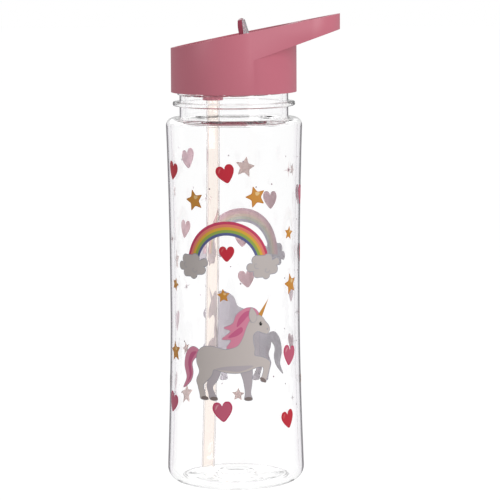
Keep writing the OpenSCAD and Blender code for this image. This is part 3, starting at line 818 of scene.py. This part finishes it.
# %% Laying out
BIG_TURNS = (0, 180)
PONY_SIZE, PONY_Z = 50.0, 70.0
RAINBOW_R, RAINBOW_Z = 23.0, 112.0
CLOUD_W, CLOUD_H = 18.0, 11.0
COLUMN_STEP, ROW_STEP = 30, 30
PRINT_LOW, PRINT_HIGH = 34, 166


def around(across):
    """The angle that a distance along the wall, in millimetres, stands for."""
    return math.degrees(across * MM / BASE_R)


def big_motifs(turn):
    foot = around(RAINBOW_R - 3)
    return [(rainbow_motif(RAINBOW_R), turn, RAINBOW_Z, 0),
            (cloud_motif(CLOUD_W, CLOUD_H), turn - foot, RAINBOW_Z, 0),
            (cloud_motif(CLOUD_W, CLOUD_H), turn + foot, RAINBOW_Z, 0),
            (heart_motif(8, "red", "red", "red_light"), turn, RAINBOW_Z + 7, 0),
            (pony_motif(PONY_SIZE), turn, PONY_Z, 0)]


def is_free(angle, height, reach):
    """True where a small motif that reaches this far keeps clear of the big ones."""
    for turn in BIG_TURNS:
        across = abs((angle - turn + 180) % 360 - 180) / around(1)
        by_pony = across < PONY_SIZE / 2 + reach and abs(height - PONY_Z) < PONY_SIZE / 2 + reach
        by_rainbow = (across < RAINBOW_R + CLOUD_W / 2 + reach
                      and -CLOUD_H / 2 - reach < height - RAINBOW_Z < RAINBOW_R + reach)
        if by_pony or by_rainbow:
            return False
    return True


# %% Small motifs
SMALL = [
    heart_motif(9.5, "red", "red", "red_light"),
    star_motif(11),
    sparkle_motif(8),
    heart_motif(10.5, "rose", "rose_dark", "rose_light"),
    star_motif(7),
]
FLECK = [(ellipse(0, 0, 0.45, 0.45, steps=12), "fleck", 0)]
scatter = random.Random(11)
LAYOUT = [motif for turn in BIG_TURNS for motif in big_motifs(turn)]
for column in range(360 // COLUMN_STEP):
    drop = ROW_STEP / 2 * (column % 2)
    for row in range(5):
        angle = column * COLUMN_STEP + scatter.uniform(-5, 5)
        height = PRINT_HIGH - 8 - row * ROW_STEP - drop + scatter.uniform(-4, 4)
        tilt = scatter.uniform(-18, 18)
        kind = SMALL[(column + 2 * row) % len(SMALL)]
        if height > PRINT_LOW and is_free(angle, height, 3):
            LAYOUT.append((kind, angle, height, tilt))
        between = angle + COLUMN_STEP / 2
        if height > PRINT_LOW and is_free(between, height + 6, 0):
            LAYOUT.append((FLECK, between, height + 6, 0))
print("layout:", len(LAYOUT), "motifs")

# %% Cutting and wrapping
STRIP_W = 1.6 * MM
STRIP_H = 6 * MM


def cut_shape(outline, name):
    """A flat sheet of ink in the upright X-Z plane, facing the front, made from a disc whose rim is moved."""
    deselect()
    bpy.ops.mesh.primitive_circle_add(vertices=len(outline), radius=MM, fill_type="NGON")
    sheet = bpy.context.object
    sheet.name = name
    rim = [v.index for v in sheet.data.vertices]
    for index, (x, z) in zip(rim, outline):
        sheet.data.vertices[index].co = (x * MM, 0, z * MM)
    return sheet


def steps_between(values, step):
    """Whole multiples of a step from the lowest value to the highest."""
    return [i * step for i in range(math.ceil(min(values) / step), math.floor(max(values) / step) + 1)]


def slice_sheet(sheet):
    """Cuts the sheet into strips, so that it can bend round the bottle."""
    activate(sheet)
    xs = [v.co.x for v in sheet.data.vertices]
    zs = [v.co.z for v in sheet.data.vertices]
    bpy.ops.object.mode_set(mode="EDIT")
    bpy.ops.mesh.select_all(action="SELECT")
    bpy.ops.mesh.quads_convert_to_tris(quad_method="BEAUTY", ngon_method="BEAUTY")
    cuts = [((x, 0, 0), (1, 0, 0)) for x in steps_between(xs, STRIP_W)]
    cuts += [((0, 0, z), (0, 0, 1)) for z in steps_between(zs, STRIP_H)]
    for place, normal in cuts:
        bpy.ops.mesh.select_all(action="SELECT")
        bpy.ops.mesh.bisect(plane_co=place, plane_no=normal)
    bpy.ops.object.mode_set(mode="OBJECT")


def wrap(sheet, angle, lift):
    """Bends the sheet round the bottle at its height, with its face outwards."""
    for v in sheet.data.vertices:
        r = body_radius(v.co.z) + lift
        t = math.radians(angle) + v.co.x / BASE_R
        v.co = (r * math.sin(t), -r * math.cos(t), v.co.z)


# %% Printing
by_ink = {}
for number, (shapes, angle, height, tilt) in enumerate(LAYOUT):
    c, s = math.cos(math.radians(tilt)), math.sin(math.radians(tilt))
    for outline, colour, layer in shapes:
        turned = [(x * c - z * s, x * s + z * c + height) for x, z in outline]
        sheet = cut_shape(turned, f"motif_{number}")
        slice_sheet(sheet)
        wrap(sheet, angle, PRINT_GAP + layer * LAYER)
        by_ink.setdefault(colour, []).append(sheet)

for colour, sheets in by_ink.items():
    activate(*sheets)
    bpy.ops.object.join()
    film = bpy.context.object
    film.name = "print_" + colour
    place_in_mesh(film)
    smooth(film, 40)
    finish(film, inks[colour], "bottle", "clear_body")
print("print:", len(LAYOUT), "motifs in", len(by_ink), "inks")

# %% [markdown]
# ## Cap, spout and seals
# The engineering parts of the cap have the right shapes, but their edges are knife-sharp, and a real mould
# always leaves a small radius that catches the light. They could be modelled again from primitives. It is
# quicker and truer to take a copy of each, merge its loose triangles, clear the construction edges from its
# flat areas and put a narrow bevel on its corners.

# %% Rounding the edges of a moulded part
EDGE_ANGLE = 32


def moulded_part(node_name, edge_radius, material, body, slot):
    piece = bpy.data.objects.new(node_name + "_part", nodes[node_name].data.copy())
    bpy.context.collection.objects.link(piece)
    activate(piece)
    bpy.ops.object.mode_set(mode="EDIT")
    bpy.ops.mesh.select_all(action="SELECT")
    bpy.ops.mesh.remove_doubles(threshold=2e-6)
    bpy.ops.mesh.dissolve_limited(angle_limit=math.radians(0.6))
    bpy.ops.object.mode_set(mode="OBJECT")
    apply(piece, "BEVEL", width=edge_radius, segments=2, limit_method="ANGLE",
          angle_limit=math.radians(EDGE_ANGLE), use_clamp_overlap=True)
    smooth(piece, EDGE_ANGLE)
    finish(piece, material, body, slot, node_name)


moulded_part("cap_shell", 0.35 * MM, cap_pink, "cap", "cap_pink")
moulded_part("inner_cap", 0.3 * MM, inner_pink, "cap", "cap_pink")
# The spout wears the darkened pink, which is painted shade.
moulded_part("flip_spout", 0.6 * MM, spout_pink, "spout", "spout_pink")

# %% [markdown]
# The soft parts are cast silicone. Their edges are rounder than a hard part's in proportion, because they
# have to seal without cutting into a lip or a rim.

# %% Silicone parts
moulded_part("mouthpiece", 0.3 * MM, mouthpiece_soft, "spout", "mouthpiece_clear")
moulded_part("valve_seat", 0.15 * MM, silicone, "cap", "silicone")
moulded_part("vent_valve", 0.15 * MM, silicone, "cap", "silicone")
moulded_part("neck_gasket", 0.2 * MM, silicone, "gasket", "silicone")

# %% [markdown]
# ## The straw
# The straw is a thin extruded tube, cut square at both ends. It leaves its socket straight down, and its
# own curl from the coil it was cut from carries its foot a few millimetres towards the wall. It is turned
# as a straight tube on the axis, with a ring of points every few millimetres, and then bent ring by ring.

# %% Straw
straw_low, straw_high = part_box("straw")
STRAW_R = 3.3 * MM
STRAW_WALL = 0.7 * MM
STRAW_TOP_X = straw_high.x - STRAW_R
STRAW_LEAN = STRAW_TOP_X - STRAW_R - straw_low.x
SOCKET_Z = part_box("inner_cap")[0].z
straw_drop = SOCKET_Z - straw_low.z
bend_r = (straw_drop ** 2 + STRAW_LEAN ** 2) / (2 * STRAW_LEAN)
STRAW_ROWS = 40
rows = [straw_low.z + (straw_high.z - straw_low.z) * i / STRAW_ROWS for i in range(STRAW_ROWS + 1)]
outer_wall = [(STRAW_R, z) for z in rows]
inner_wall = [(STRAW_R - STRAW_WALL, z) for z in reversed(rows)]
straw = lathe("straw_tube", outer_wall + inner_wall + [outer_wall[0]], 48)
for v in straw.data.vertices:
    below = max(0.0, SOCKET_Z - v.co.z)
    v.co.x += STRAW_TOP_X - bend_r + math.sqrt(bend_r ** 2 - below ** 2)
smooth(straw, 60)
finish(straw, straw_tint, "cap", "straw_tint", "straw")
print(f"straw leans {STRAW_LEAN / MM:.1f} mm over {straw_drop / MM:.0f} mm")
